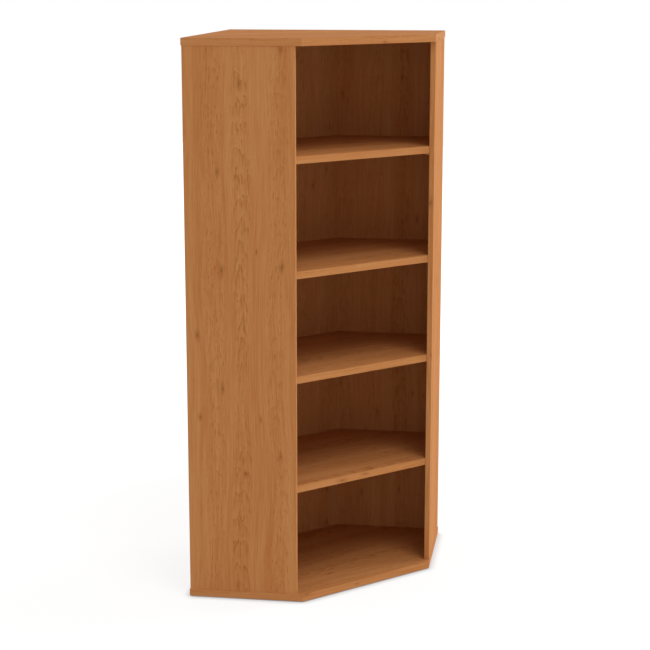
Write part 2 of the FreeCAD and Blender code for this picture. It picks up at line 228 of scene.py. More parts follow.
def addKnots(tree, across, along, values):
    # pin knots: a small soft core in a faint shadow
    width, length = values["knotCell"]
    cell = addNode(tree, "ShaderNodeCombineXYZ", {
        "X": addNode(tree, "ShaderNodeMath", {0: across, 1: width * mm}, operation="DIVIDE"),
        "Y": addNode(tree, "ShaderNodeMath", {0: along, 1: length * mm}, operation="DIVIDE")})
    knots = addNode(tree, "ShaderNodeTexVoronoi", {"Vector": cell, "Scale": 1.0}, voronoi_dimensions="2D")
    chance = addNode(tree, "ShaderNodeSeparateColor", {"Color": knots.outputs["Color"]})
    hasKnot = addNode(tree, "ShaderNodeMath", {0: chance.outputs["Red"], 1: values["knotShare"]},
                      operation="LESS_THAN")
    size = addNode(tree, "ShaderNodeMapRange", {
        "Value": chance.outputs["Green"], "To Min": values["knotSize"][0], "To Max": values["knotSize"][1]})
    reach = addNode(tree, "ShaderNodeMath", {0: knots.outputs["Distance"], 1: size}, operation="DIVIDE")
    core = addNode(tree, "ShaderNodeMapRange", {
        "Value": reach, "From Min": values["coreReach"][0], "From Max": values["coreReach"][1]},
        interpolation_type="SMOOTHSTEP")
    shadow = addNode(tree, "ShaderNodeMapRange", {
        "Value": reach, "From Min": values["shadowReach"][0], "From Max": values["shadowReach"][1],
        "To Max": values["shadowWeight"]}, interpolation_type="SMOOTHSTEP")
    dark = addNode(tree, "ShaderNodeMath", {0: core, 1: values["coreWeight"], 2: shadow},
                   operation="MULTIPLY_ADD")
    return addNode(tree, "ShaderNodeMath", {0: dark, 1: hasKnot}, operation="MULTIPLY")


def makeDecorPrint(values):
    tree = bpy.data.node_groups.new("alderDecorPrint", "ShaderNodeTree")
    tree.interface.new_socket("Place", in_out="INPUT", socket_type="NodeSocketVector")
    tree.interface.new_socket("Color", in_out="OUTPUT", socket_type="NodeSocketColor")
    tree.interface.new_socket("Pore", in_out="OUTPUT", socket_type="NodeSocketFloat")
    entry = addNode(tree, "NodeGroupInput")
    place = addNode(tree, "ShaderNodeSeparateXYZ", {"Vector": entry})
    straight, along = place.outputs["X"], place.outputs["Z"]

    # The whole print wanders a little from side to side
    wander = grainPattern(tree, straight, along, values["wanderSize"], detail=1.0)
    shift = addNode(tree, "ShaderNodeMapRange", {
        "Value": wander, "From Min": values["wanderSpan"][0], "From Max": values["wanderSpan"][1],
        "To Min": -values["wanderBy"] * mm, "To Max": values["wanderBy"] * mm})
    across = addNode(tree, "ShaderNodeMath", {0: straight, 1: shift}, operation="ADD")

    color = addTone(tree, across, along, values)
    rings, nearHeart = addFigure(tree, across, along, values)
    dashes = addFlecks(tree, across, along, nearHeart, values)
    knots = addKnots(tree, across, along, values)
    for share, tone in ((rings, "ringTone"), (dashes, "fleckTone"), (knots, "knotTone")):
        color = addNode(tree, "ShaderNodeMix", {0: share, 6: color, 7: fromHex(values[tone])},
                        data_type="RGBA")
    pore = grainPattern(tree, across, along, values["poreSize"], detail=1.0)
    addNode(tree, "NodeGroupOutput", {"Color": color, "Pore": pore})
    return tree


# Chipboard core: pressed wood particles, matt and pale. It shows only on sawn edges and in bores, where the
# cosine of the angle from the board's own face is under edgeCosine.
chipboard = {"paleTone": "#CBAA7C", "darkTone": "#8E6A42", "particleSize": 3.5, "roughness": 0.9,
             "edgeCosine": 0.7}


def makeChipboardCore(values):
    tree = bpy.data.node_groups.new("chipboardCore", "ShaderNodeTree")
    tree.interface.new_socket("Place", in_out="INPUT", socket_type="NodeSocketVector")
    tree.interface.new_socket("Color", in_out="OUTPUT", socket_type="NodeSocketColor")
    entry = addNode(tree, "NodeGroupInput")
    particles = addNode(tree, "ShaderNodeTexVoronoi", {
        "Vector": entry, "Scale": 1 / (values["particleSize"] * mm)})
    chance = addNode(tree, "ShaderNodeSeparateColor", {"Color": particles.outputs["Color"]})
    color = addNode(tree, "ShaderNodeMix", {0: chance.outputs["Red"], 6: fromHex(values["darkTone"]),
                    7: fromHex(values["paleTone"])}, data_type="RGBA")
    addNode(tree, "NodeGroupOutput", {"Color": color})
    return tree


# Melamine resin is hard and even, and pressed against a matt, finely pitted plate: a dull satin with no
# bright spot, so its gloss is set below what its IOR alone would give
melamineFace = {"ior": 1.5, "gloss": 0.06, "roughness": (0.82, 0.90), "relief": 0.03}
# ABS edging: the same print on extruded plastic, a little smoother
absEdging = {"ior": 1.5, "gloss": 0.08, "roughness": (0.66, 0.76), "relief": 0.02}

decorPrint = makeDecorPrint(alderDecor)
chipboardCore = makeChipboardCore(chipboard)


def makeDecorMaterial(name, finish, lay, faced):
    # the decor laid with its grain along one direction, and shifted so that boards differ
    material, tree = startMaterial(name)
    through = lay["along"].cross(lay["across"])
    turn = Matrix((lay["across"], through, lay["along"])).to_euler()
    coordinates = addNode(tree, "ShaderNodeTexCoord")
    place = addNode(tree, "ShaderNodeMapping", {
        "Vector": coordinates.outputs["Object"], "Rotation": turn,
        "Location": (lay["start"][0] * mm, 0, lay["start"][1] * mm)})
    decor = addNode(tree, "ShaderNodeGroup", node_tree=decorPrint)
    tree.links.new(place.outputs["Vector"], decor.inputs["Place"])
    color, pore = decor.outputs["Color"], decor.outputs["Pore"]
    roughness = addNode(tree, "ShaderNodeMapRange", {
        "Value": pore, "From Min": noiseSpan[0], "From Max": noiseSpan[1],
        "To Min": finish["roughness"][0], "To Max": finish["roughness"][1]})
    if faced:
        geometry = addNode(tree, "ShaderNodeNewGeometry")
        facing = addNode(tree, "ShaderNodeVectorMath", {0: geometry.outputs["True Normal"], 1: through},
                         operation="DOT_PRODUCT")
        turned = addNode(tree, "ShaderNodeMath", {0: facing.outputs["Value"]}, operation="ABSOLUTE")
        sawn = addNode(tree, "ShaderNodeMath", {0: turned, 1: chipboard["edgeCosine"]},
                       operation="LESS_THAN")
        core = addNode(tree, "ShaderNodeGroup", node_tree=chipboardCore)
        tree.links.new(coordinates.outputs["Object"], core.inputs["Place"])
        color = addNode(tree, "ShaderNodeMix", {0: sawn, 6: color, 7: core}, data_type="RGBA")
        roughness = addNode(tree, "ShaderNodeMix", {0: sawn, 2: roughness, 3: chipboard["roughness"]})
    relief = addNode(tree, "ShaderNodeBump", {
        "Height": pore, "Strength": finish["relief"], "Distance": alderDecor["poreDepth"] * mm})
    shader = addNode(tree, "ShaderNodeBsdfPrincipled", {
        "Base Color": color, "Roughness": roughness, "IOR": finish["ior"],
        "Specular IOR Level": finish["gloss"], "Normal": relief})
    addNode(tree, "ShaderNodeOutputMaterial", {"Surface": shader})
    return material


# Each board's grain direction and where its piece of the print starts, in mm
boards = {
    "left_upright": {"across": rightward, "along": up, "start": (364, 410)},
    "right_upright": {"across": backward, "along": up, "start": (1490, 760)},
    "left_back_panel": {"across": backward, "along": up, "start": (2360, 120)},
    "right_back_panel": {"across": rightward, "along": up, "start": (4110, 900)},
    "diagonal_back_panel": {"across": alongFront, "along": up, "start": (3080, 330)},
    "base_panel": {"across": outOfFront, "along": alongFront, "start": (5220, 240)},
    "top_panel": {"across": outOfFront, "along": alongFront, "start": (6340, 1020)},
    "shelf_1": {"across": outOfFront, "along": alongFront, "start": (7050, 480)},
    "shelf_2": {"across": outOfFront, "along": alongFront, "start": (8190, 1150)},
    "shelf_3": {"across": outOfFront, "along": alongFront, "start": (9410, 700)},
    "shelf_4": {"across": outOfFront, "along": alongFront, "start": (10230, 50)},
}
# The base's and the top's strips run in several directions, so their print follows a line between those.
# All level strips are cut from the plain wood between two figures.
aroundBoard = Vector((0.8, 0.6, 0))
strips = {
    "left_upright_edging": {"across": alongFront, "along": up, "start": (11900, 160)},
    "right_upright_edging": {"across": alongFront, "along": up, "start": (12870, 640)},
    "base_panel_edging": {"across": up, "along": aroundBoard, "start": (14132, 820)},
    "top_panel_edging": {"across": up, "along": aroundBoard, "start": (14830, 300)},
    "shelf_1_edging": {"across": up, "along": alongFront, "start": (15152, 90)},
    "shelf_2_edging": {"across": up, "along": alongFront, "start": (16388, 560)},
    "shelf_3_edging": {"across": up, "along": alongFront, "start": (17218, 930)},
    "shelf_4_edging": {"across": up, "along": alongFront, "start": (18454, 210)},
}
for name, lay in boards.items():
    dressNode(name, makeDecorMaterial("alderMelamine_" + name, melamineFace, lay, faced=True))
for name, lay in strips.items():
    dressNode(name, makeDecorMaterial("alderEdging_" + name, absEdging, lay, faced=False))
print("decor laid on", len(boards), "boards and", len(strips), "sets of edging")


# Die-cast zinc: dull grey casting skin. Zinc-plated steel: brighter, with a faint blue-yellow passivation.
# Bronze-plated steel: a thin brown plating with a soft shine. Drawn steel: bright wire. Moulded
# polypropylene: a soft sheen, coloured to go with the decor. Moulded polyethylene: a little duller, and
# dark. Sizes in mm.
hardFinishes = {
    "zincDieCast": {"tones": ("#8F9293", "#B2B4B3"), "roughness": (0.38, 0.55),
                    "patchSize": 4, "gritSize": 0.5, "relief": 0.3},
    "steelZincPlated": {"tones": ("#B9BDC4", "#CFC9B4"), "roughness": (0.22, 0.36),
                        "patchSize": 3, "gritSize": 0.4, "relief": 0.1},
    "steelBronzePlated": {"tones": ("#805634", "#946840"), "roughness": (0.34, 0.46),
                          "patchSize": 5, "gritSize": 0.4, "relief": 0.08},
    "steelDrawnWire": {"tones": ("#A7A9AB", "#BDBFC0"), "roughness": (0.28, 0.40),
                       "patchSize": 3, "gritSize": 0.3, "relief": 0.12},
    "polypropyleneMoulded": {"tones": ("#B5763F", "#BE7F47"), "roughness": (0.42, 0.56),
                             "patchSize": 12, "gritSize": 0.35, "relief": 0.2, "ior": 1.49},
    "polyethyleneMoulded": {"tones": ("#33261D", "#3E2F24"), "roughness": (0.45, 0.62),
                            "patchSize": 9, "gritSize": 0.4, "relief": 0.25, "ior": 1.51},
}
gritHeight = 0.1        # mm; how high the grit and the beech's fibres stand at a relief of 1


def makeHardFinish(name, values):
    # tones vary in soft patches, as plating, casting skin and the flow in a mould do; roughness follows the
    # patches on metal, and on plastic the fine spark-eroded grain of its tool
    isMetal = "ior" not in values        # a metal keeps the shader's own IOR
    material, tree = startMaterial(name)
    coordinates = addNode(tree, "ShaderNodeTexCoord")
    patches = addNode(tree, "ShaderNodeTexNoise", {
        "Vector": coordinates.outputs["Object"], "Scale": 1 / (values["patchSize"] * mm),
        "Detail": 3.0 if isMetal else 2.0})
    grit = addNode(tree, "ShaderNodeTexNoise", {
        "Vector": coordinates.outputs["Object"], "Scale": 1 / (values["gritSize"] * mm), "Detail": 1.0})
    color = addNode(tree, "ShaderNodeMix", {0: patches, 6: fromHex(values["tones"][0]),
                    7: fromHex(values["tones"][1])}, data_type="RGBA")
    roughness = addNode(tree, "ShaderNodeMapRange", {
        "Value": patches if isMetal else grit, "From Min": noiseSpan[0], "From Max": noiseSpan[1],
        "To Min": values["roughness"][0], "To Max": values["roughness"][1]})
    relief = addNode(tree, "ShaderNodeBump", {
        "Height": grit, "Strength": values["relief"], "Distance": gritHeight * mm})
    substance = {"Metallic": 1.0} if isMetal else {"IOR": values["ior"]}
    shader = addNode(tree, "ShaderNodeBsdfPrincipled", {
        "Base Color": color, "Roughness": roughness, "Normal": relief, **substance})
    addNode(tree, "ShaderNodeOutputMaterial", {"Surface": shader})
    return material


# Turned beech: pale pink-brown, with short dark flecks along the grain
beechDowel = {"tones": ("#C79B6A", "#DDB787"), "fleckTone": "#9A6B3E", "roughness": 0.62, "ior": 1.5,
              "relief": 0.3, "fibreSize": (0.7, 14), "fleckSize": (0.6, 3.5), "fleckSpan": (0.62, 0.70),
              "fleckWeight": 0.7}


def makeBeech(name, values):
    # reads each dowel's own place and random shift, which its tree stores: X runs along the grain
    material, tree = startMaterial(name)
    place = addNode(tree, "ShaderNodeAttribute", attribute_name="ownPlace")
    shift = addNode(tree, "ShaderNodeAttribute", attribute_name="ownShift")
    own = addNode(tree, "ShaderNodeVectorMath", {0: place.outputs["Vector"], 1: shift.outputs["Vector"]},
                  operation="ADD")
    patterns = []
    for width, length in (values["fibreSize"], values["fleckSize"]):
        drawn = addNode(tree, "ShaderNodeVectorMath", {
            0: own, 1: (1 / (length * mm), 1 / (width * mm), 1 / (width * mm))}, operation="MULTIPLY")
        patterns.append(addNode(tree, "ShaderNodeTexNoise", {"Vector": drawn, "Scale": 1.0, "Detail": 2.0}))
    fibres, flecks = patterns
    shown = addNode(tree, "ShaderNodeMapRange", {
        "Value": flecks, "From Min": values["fleckSpan"][0], "From Max": values["fleckSpan"][1],
        "To Max": values["fleckWeight"]})
    color = addNode(tree, "ShaderNodeMix", {0: fibres, 6: fromHex(values["tones"][0]),
                    7: fromHex(values["tones"][1])}, data_type="RGBA")
    color = addNode(tree, "ShaderNodeMix", {0: shown, 6: color, 7: fromHex(values["fleckTone"])},
                    data_type="RGBA")
    relief = addNode(tree, "ShaderNodeBump", {
        "Height": fibres, "Strength": values["relief"], "Distance": gritHeight * mm})
    shader = addNode(tree, "ShaderNodeBsdfPrincipled", {
        "Base Color": color, "Roughness": values["roughness"], "IOR": values["ior"], "Normal": relief})
    addNode(tree, "ShaderNodeOutputMaterial", {"Surface": shader})
    return material


finishes = {name: makeHardFinish(name, values) for name, values in hardFinishes.items()}
beechTurned = makeBeech("beechTurned", beechDowel)
dressNode("cam_housings", finishes["zincDieCast"])
dressNode("cam_cover_caps", finishes["polypropyleneMoulded"])
dressNode("glide_nails", finishes["steelDrawnWire"])
print("metal, plastic and beech finishes made")


def solidsOf(name):
    # the points of each separate solid in a CAD node, welded where they lie within a micrometre
    mesh = nodes[name].data
    points = np.empty(len(mesh.vertices) * 3)
    mesh.vertices.foreach_get("co", points)
    corners = np.empty(len(mesh.loops), dtype=int)
    mesh.loops.foreach_get("vertex_index", corners)
    welded, same = np.unique(points.reshape(-1, 3).round(6), axis=0, return_inverse=True)
    triangles = same.ravel()[corners].reshape(-1, 3)
    label = np.arange(len(welded))
    settled = False
    while not settled:
        lower = label.copy()
        np.minimum.at(lower, triangles.ravel(), np.repeat(label[triangles].min(axis=1), 3))
        lower = lower[lower]
        settled = (lower == label).all()
        label = lower
    return [welded[label == number] for number in np.unique(label)]


def longAxis(points):
    # the middle of a turned solid, the direction in which it is longest, and how long it is
    middle = (points.min(axis=0) + points.max(axis=0)) / 2
    axis = np.linalg.svd(points - points.mean(axis=0))[2][0]
    reach = (points - middle) @ axis
    return middle + axis * (reach.min() + reach.max()) / 2, axis, np.ptp(reach)


def startTree(name, sizes):
    # whole numbers are counts, a name in Share is a share, and all other sizes are lengths
    tree = bpy.data.node_groups.new(name, "GeometryNodeTree")
    tree.interface.new_socket("Geometry", in_out="INPUT", socket_type="NodeSocketGeometry")
    for label, value in sizes.items():
        kind = "NodeSocketInt" if isinstance(value, int) else "NodeSocketFloat"
        tree.interface.new_socket(label, in_out="INPUT", socket_type=kind)
    tree.interface.new_socket("Geometry", in_out="OUTPUT", socket_type="NodeSocketGeometry")
    return tree, addNode(tree, "NodeGroupInput")


def addRod(tree, start, end, radius, sides, level=0.0):
    # a round bar along X, with its axis at one level
    line = addNode(tree, "GeometryNodeCurvePrimitiveLine", {
        "Start": addNode(tree, "ShaderNodeCombineXYZ", {"X": start, "Z": level}),
        "End": addNode(tree, "ShaderNodeCombineXYZ", {"X": end, "Z": level})})
    outline = addNode(tree, "GeometryNodeCurvePrimitiveCircle", {"Resolution": sides, "Radius": radius})
    return addNode(tree, "GeometryNodeCurveToMesh", {
        "Curve": line, "Profile Curve": outline, "Fill Caps": True})


def endTree(tree, entry, part, material, pivot="AUTO", seed=None):
    # one copy of the part at each point, its X axis along the point's heading; with a seed, each copy also
    # carries a random shift that its material can read
    heading = addNode(tree, "GeometryNodeInputNamedAttribute", {"Name": "heading"}, data_type="FLOAT_VECTOR")
    turn = addNode(tree, "FunctionNodeAlignRotationToVector", {"Vector": heading},
                   axis="X", pivot_axis=pivot)
    copies = addNode(tree, "GeometryNodeInstanceOnPoints", {
        "Points": entry.outputs["Geometry"], "Instance": part, "Rotation": turn})
    if seed is not None:
        shift = addNode(tree, "FunctionNodeRandomValue", {"Seed": seed}, data_type="FLOAT_VECTOR")
        copies = addNode(tree, "GeometryNodeStoreNamedAttribute", {
            "Geometry": copies, "Name": "ownShift", "Value": shift},
            data_type="FLOAT_VECTOR", domain="INSTANCE")
    real = addNode(tree, "GeometryNodeRealizeInstances", {"Geometry": copies})
    finish = addNode(tree, "GeometryNodeSetMaterial", {"Geometry": real, "Material": material})
    addNode(tree, "NodeGroupOutput", {"Geometry": finish})


sharpFrom = 35        # edges that turn by more degrees stay sharp


def makeHardware(name, tree, sizes, places, headings, replaced):
    # points with headings go in; the tree's result comes out as a plain mesh that rides with the carcass
    mesh = bpy.data.meshes.new(name)
    mesh.from_pydata([tuple(place) for place in places], [], [])
    heading = mesh.attributes.new("heading", "FLOAT_VECTOR", "POINT")
    heading.data.foreach_set("vector", np.array(headings, dtype=np.float32).ravel())
    piece = bpy.data.objects.new(name, mesh)
    scene.collection.objects.link(piece)
    modifier = piece.modifiers.new("build", "NODES")
    modifier.node_group = tree
    for item in tree.interface.items_tree:
        if item.in_out == "INPUT" and item.name in sizes:
            value = sizes[item.name]
            isLength = isinstance(value, float) and not item.name.endswith("Share")
            modifier[item.identifier] = value * mm if isLength else value
    graph = bpy.context.evaluated_depsgraph_get()
    finished = bpy.data.meshes.new_from_object(piece.evaluated_get(graph), depsgraph=graph)
    piece.modifiers.clear()
    piece.data = finished
    finished.shade_smooth()
    finished.set_sharp_from_angle(angle=math.radians(sharpFrom))
    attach(piece, "carcass")
    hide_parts(replaced)
    low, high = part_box(replaced)
    print(name, len(places), "pieces,", len(finished.polygons), "faces; box",
          [round(value, 4) for corner in piece.bound_box[:1] + piece.bound_box[6:7] for value in corner],
          "CAD", [round(value, 4) for corner in (low, high) for value in corner])


# Shelf pins: a peg with a round tip, and a body with a flat top for the shelf and a half-round underside
shelfPins = {"pegRadius": 2.5, "pegDepth": 9.0, "bodyLength": 14.0, "bodyRadius": 5.25, "edgeRound": 0.4,
             "endRound": 0.8, "sides": 32, "tipRings": 12, "cornerSteps": 10, "endRings": 5}


def makePinTree(sizes, material):
    tree, entry = startTree("shelfPin", sizes)
    size = entry.outputs
    level = addNode(tree, "ShaderNodeMath", {0: size["bodyRadius"], 1: -1.0}, operation="MULTIPLY")
    back = addNode(tree, "ShaderNodeMath", {0: size["pegRadius"], 1: size["pegDepth"]}, operation="SUBTRACT")
    peg = addRod(tree, back, 0.0, size["pegRadius"], size["sides"], level)
    ball = addNode(tree, "GeometryNodeMeshUVSphere", {
        "Segments": size["sides"], "Rings": size["tipRings"], "Radius": size["pegRadius"]})
    tip = addNode(tree, "GeometryNodeTransform", {
        "Geometry": ball, "Rotation": (0, math.pi / 2, 0),
        "Translation": addNode(tree, "ShaderNodeCombineXYZ", {"X": back, "Z": level})})

    # The section is a square whose two lower corners are rounded until they meet; its Y runs down here
    width = addNode(tree, "ShaderNodeMath", {0: size["bodyRadius"], 1: 2.0}, operation="MULTIPLY")
    square = addNode(tree, "GeometryNodeCurvePrimitiveQuadrilateral", {"Width": width, "Height": width})
    corner = addNode(tree, "ShaderNodeSeparateXYZ", {"Vector": addNode(tree, "GeometryNodeInputPosition")})
    lower = addNode(tree, "ShaderNodeMath", {0: corner.outputs["Y"], 1: 0.0}, operation="GREATER_THAN")
    rounding = addNode(tree, "ShaderNodeMix", {0: lower, 2: size["edgeRound"], 3: size["bodyRadius"]})
    section = addNode(tree, "GeometryNodeFilletCurve", {
        "Curve": square, "Radius": rounding, "Count": size["cornerSteps"], "Limit Radius": True},
        mode="POLY")

    # Along the body: the board's face, then the rings of a quarter circle at the free end
    line = addNode(tree, "GeometryNodeCurvePrimitiveLine", {"End": (1, 0, 0)})
    ringTotal = addNode(tree, "ShaderNodeMath", {0: size["endRings"], 1: 1.0}, operation="ADD")
    rings = addNode(tree, "GeometryNodeResampleCurve", {"Curve": line, "Count": ringTotal})
    index = addNode(tree, "GeometryNodeInputIndex")
    angle = addNode(tree, "ShaderNodeMapRange", {
        "Value": index, "From Min": 1.0, "From Max": size["endRings"], "To Max": math.pi / 2})
    beforeRound = addNode(tree, "ShaderNodeMath", {0: size["bodyLength"], 1: size["endRound"]},
                          operation="SUBTRACT")
    ahead = addNode(tree, "ShaderNodeMath", {0: index, 1: 1.0}, operation="MINIMUM")
    straight = addNode(tree, "ShaderNodeMath", {0: ahead, 1: beforeRound}, operation="MULTIPLY")
    sine = addNode(tree, "ShaderNodeMath", {0: angle}, operation="SINE")
    place = addNode(tree, "ShaderNodeMath", {0: sine, 1: size["endRound"], 2: straight},
                    operation="MULTIPLY_ADD")
    moved = addNode(tree, "GeometryNodeSetPosition", {
        "Geometry": rings, "Position": addNode(tree, "ShaderNodeCombineXYZ", {"X": place, "Z": level})})
    cosine = addNode(tree, "ShaderNodeMath", {0: angle}, operation="COSINE")
    drawnIn = addNode(tree, "ShaderNodeMath", {0: 1.0, 1: cosine}, operation="SUBTRACT")
    share = addNode(tree, "ShaderNodeMath", {0: size["endRound"], 1: size["bodyRadius"]}, operation="DIVIDE")
    taken = addNode(tree, "ShaderNodeMath", {0: drawnIn, 1: share}, operation="MULTIPLY")
    scale = addNode(tree, "ShaderNodeMath", {0: 1.0, 1: taken}, operation="SUBTRACT")
    tapered = addNode(tree, "GeometryNodeSetCurveRadius", {"Curve": moved, "Radius": scale})
    body = addNode(tree, "GeometryNodeCurveToMesh", {
        "Curve": tapered, "Profile Curve": section, "Fill Caps": True})
    part = addNode(tree, "GeometryNodeJoinGeometry", {"Geometry": [peg, tip, body]})
    endTree(tree, entry, part, material, pivot="Z")
    return tree


def placePins():
    # a pin stands square to its board: the left upright, the right one or the diagonal back
    places, headings = [], []
    for points in solidsOf("shelf_pins"):
        longest = np.append(np.linalg.svd(points[:, :2] - points[:, :2].mean(axis=0))[2][0], 0.0)
        heading = max((backward, -rightward, outOfFront), key=lambda way: abs(longest @ way))
        sideways = heading.cross(up)
        reach, across = points @ heading, points @ sideways
        places.append(heading * (reach.min() + shelfPins["pegDepth"] * mm)
                      + sideways * (across.min() + across.max()) / 2 + up * points[:, 2].max())
        headings.append(heading)
    return places, headings


pinPlaces, pinHeadings = placePins()
makeHardware("shelfPins", makePinTree(shelfPins, finishes["steelBronzePlated"]), shelfPins,
             pinPlaces, pinHeadings, "shelf_pins")

# Cam bolts: a coarse thread, a collar at the joint, a shank and the head that the cam grips
camBolts = {"threadRadius": 3.0, "threadLength": 11.0, "ridgeSize": 0.55, "ridgeSides": 3, "threadTurns": 5,
            "collarRadius": 3.9, "collarLength": 3.0, "shankRadius": 2.5, "headRadius": 3.4,
            "headLength": 5.0, "totalLength": 47.5, "sides": 24}


def makeBoltTree(sizes, material):
    tree, entry = startTree("camBolt", sizes)
    size = entry.outputs
    root = addNode(tree, "ShaderNodeMath", {0: size["threadRadius"], 1: size["ridgeSize"]},
                   operation="SUBTRACT")
    core = addRod(tree, 0.0, size["threadLength"], root, size["sides"])
    rise = addNode(tree, "ShaderNodeMath", {0: size["ridgeSize"], 1: -2.0, 2: size["threadLength"]},
                   operation="MULTIPLY_ADD")
    helix = addNode(tree, "GeometryNodeCurveSpiral", {
        "Resolution": size["sides"], "Rotations": size["threadTurns"],
        "Start Radius": root, "End Radius": root, "Height": rise})
    ridge = addNode(tree, "GeometryNodeCurvePrimitiveCircle", {
        "Resolution": size["ridgeSides"], "Radius": size["ridgeSize"]})
    wound = addNode(tree, "GeometryNodeCurveToMesh", {
        "Curve": helix, "Profile Curve": ridge, "Fill Caps": True})
    thread = addNode(tree, "GeometryNodeTransform", {
        "Geometry": wound, "Rotation": (0, math.pi / 2, 0),
        "Translation": addNode(tree, "ShaderNodeCombineXYZ", {"X": size["ridgeSize"]})})
    collarEnd = addNode(tree, "ShaderNodeMath", {0: size["threadLength"], 1: size["collarLength"]},
                        operation="ADD")
    collar = addRod(tree, size["threadLength"], collarEnd, size["collarRadius"], size["sides"])
    headStart = addNode(tree, "ShaderNodeMath", {0: size["totalLength"], 1: size["headLength"]},
                        operation="SUBTRACT")
    shank = addRod(tree, collarEnd, headStart, size["shankRadius"], size["sides"])
    head = addRod(tree, headStart, size["totalLength"], size["headRadius"], size["sides"])
    part = addNode(tree, "GeometryNodeJoinGeometry", {"Geometry": [core, thread, collar, shank, head]})
    endTree(tree, entry, part, material)
    return tree


def placeBolts():
    # the collar, the widest part, is nearer to the thread's end, which is where a bolt starts
    widthSlack = 0.05 * mm
    places, headings = [], []
    for points in solidsOf("cam_bolts"):
        middle, axis, length = longAxis(points)
        along = (points - middle) @ axis
        spread = np.linalg.norm((points - middle) - np.outer(along, axis), axis=1)
        if along[spread > spread.max() - widthSlack].mean() > 0:
            axis = -axis
        places.append(middle - axis * length / 2)
        headings.append(axis)
    return places, headings


boltPlaces, boltHeadings = placeBolts()
makeHardware("camBolts", makeBoltTree(camBolts, finishes["steelZincPlated"]), camBolts,
             boltPlaces, boltHeadings, "cam_bolts")

# Dowels: fluted so that the glue can spread, with a chamfer at each end
boardDowels = {"radius": 4.0, "fluteDepth": 0.35, "length": 35.0, "chamfer": 1.8, "endShare": 0.75,
               "flutes": 22, "seed": 7}
mitreDowels = {"radius": 3.0, "fluteDepth": 0.3, "length": 24.0, "chamfer": 1.5, "endShare": 0.75,
               "flutes": 18, "seed": 11}


def makeDowelTree(name, sizes, material):
    tree, entry = startTree(name, sizes)
    size = entry.outputs
    half = addNode(tree, "ShaderNodeMath", {0: size["length"], 1: 0.5}, operation="MULTIPLY")
    # Four rings: the two ends, narrower, and the two inner ends of the chamfers
    ringTotal = 4
    line = addNode(tree, "GeometryNodeCurvePrimitiveLine", {"End": (1, 0, 0)})
    rings = addNode(tree, "GeometryNodeResampleCurve", {"Curve": line, "Count": ringTotal})
    index = addNode(tree, "GeometryNodeInputIndex")
    fromMiddle = addNode(tree, "ShaderNodeMath", {0: index, 1: (ringTotal - 1) / 2}, operation="SUBTRACT")
    distance = addNode(tree, "ShaderNodeMath", {0: fromMiddle}, operation="ABSOLUTE")
    inner = addNode(tree, "ShaderNodeMath", {0: distance, 1: 1.0}, operation="LESS_THAN")
    inset = addNode(tree, "ShaderNodeMath", {0: inner, 1: size["chamfer"]}, operation="MULTIPLY")
    reach = addNode(tree, "ShaderNodeMath", {0: half, 1: inset}, operation="SUBTRACT")
    side = addNode(tree, "ShaderNodeMath", {0: fromMiddle}, operation="SIGN")
    place = addNode(tree, "ShaderNodeMath", {0: reach, 1: side}, operation="MULTIPLY")
    moved = addNode(tree, "GeometryNodeSetPosition", {
        "Geometry": rings, "Position": addNode(tree, "ShaderNodeCombineXYZ", {"X": place})})
    width = addNode(tree, "ShaderNodeMapRange", {"Value": inner, "To Min": size["endShare"], "To Max": 1.0})
    tapered = addNode(tree, "GeometryNodeSetCurveRadius", {"Curve": moved, "Radius": width})
    innerRadius = addNode(tree, "ShaderNodeMath", {0: size["radius"], 1: size["fluteDepth"]},
                          operation="SUBTRACT")
    star = addNode(tree, "GeometryNodeCurveStar", {
        "Points": size["flutes"], "Inner Radius": innerRadius, "Outer Radius": size["radius"]})
    solid = addNode(tree, "GeometryNodeCurveToMesh", {
        "Curve": tapered, "Profile Curve": star, "Fill Caps": True})
    own = addNode(tree, "GeometryNodeStoreNamedAttribute", {
        "Geometry": solid, "Name": "ownPlace", "Value": addNode(tree, "GeometryNodeInputPosition")},
        data_type="FLOAT_VECTOR", domain="POINT")
    endTree(tree, entry, own, material, seed=size["seed"])
    return tree


for name, sizes, replaced in (("boardDowels", boardDowels, "wooden_dowels"),
                              ("mitreDowels", mitreDowels, "mitre_dowels")):
    found = [longAxis(points) for points in solidsOf(replaced)]
    makeHardware(name, makeDowelTree(name, sizes, beechTurned), sizes, [middle for middle, _, _ in found],
                 [axis for _, axis, _ in found], replaced)

# Glides: a disc with a rounded rim, hollow in the middle for the nail and its head
floorGlides = {"radius": 12.0, "height": 3.0, "rimRound": 0.8, "recessRadius": 4.1, "recessDepth": 1.3,
               "nailRadius": 1.6, "webRound": 0.1, "sides": 48, "roundSteps": 3}


